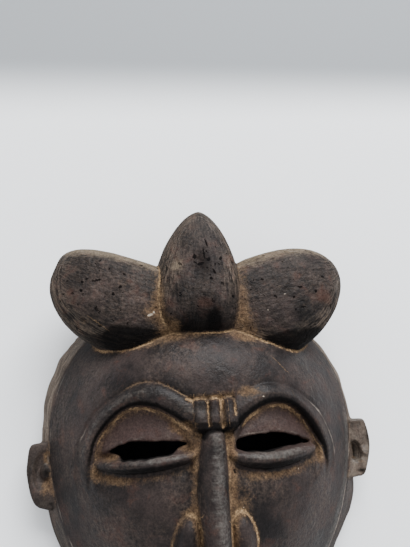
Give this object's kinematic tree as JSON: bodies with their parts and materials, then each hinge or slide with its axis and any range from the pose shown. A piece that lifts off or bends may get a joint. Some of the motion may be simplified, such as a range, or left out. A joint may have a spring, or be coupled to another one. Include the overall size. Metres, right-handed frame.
{
  "type": "carved wooden face mask",
  "caption": "Dark carved wooden face mask with a three-lobed crest, arched brows, slit eyes, a long ridge nose and small ears, hollow behind and open at the back rim.",
  "frame": {"origin": "under the middle of the mask's outline, on the plane of the back rim that it lies on", "axes": "+X to the right of someone facing the mask, +Y up the face from the chin to the crest, +Z out of the face"},
  "size_m": [0.195, 0.232, 0.0736],
  "materials": {
    "patinated_wood": "dark brown-black worn patina with tan dust in the creases"
  },
  "bodies": {
    "root": {"mask": "patinated_wood"}
  },
  "joints": []
}
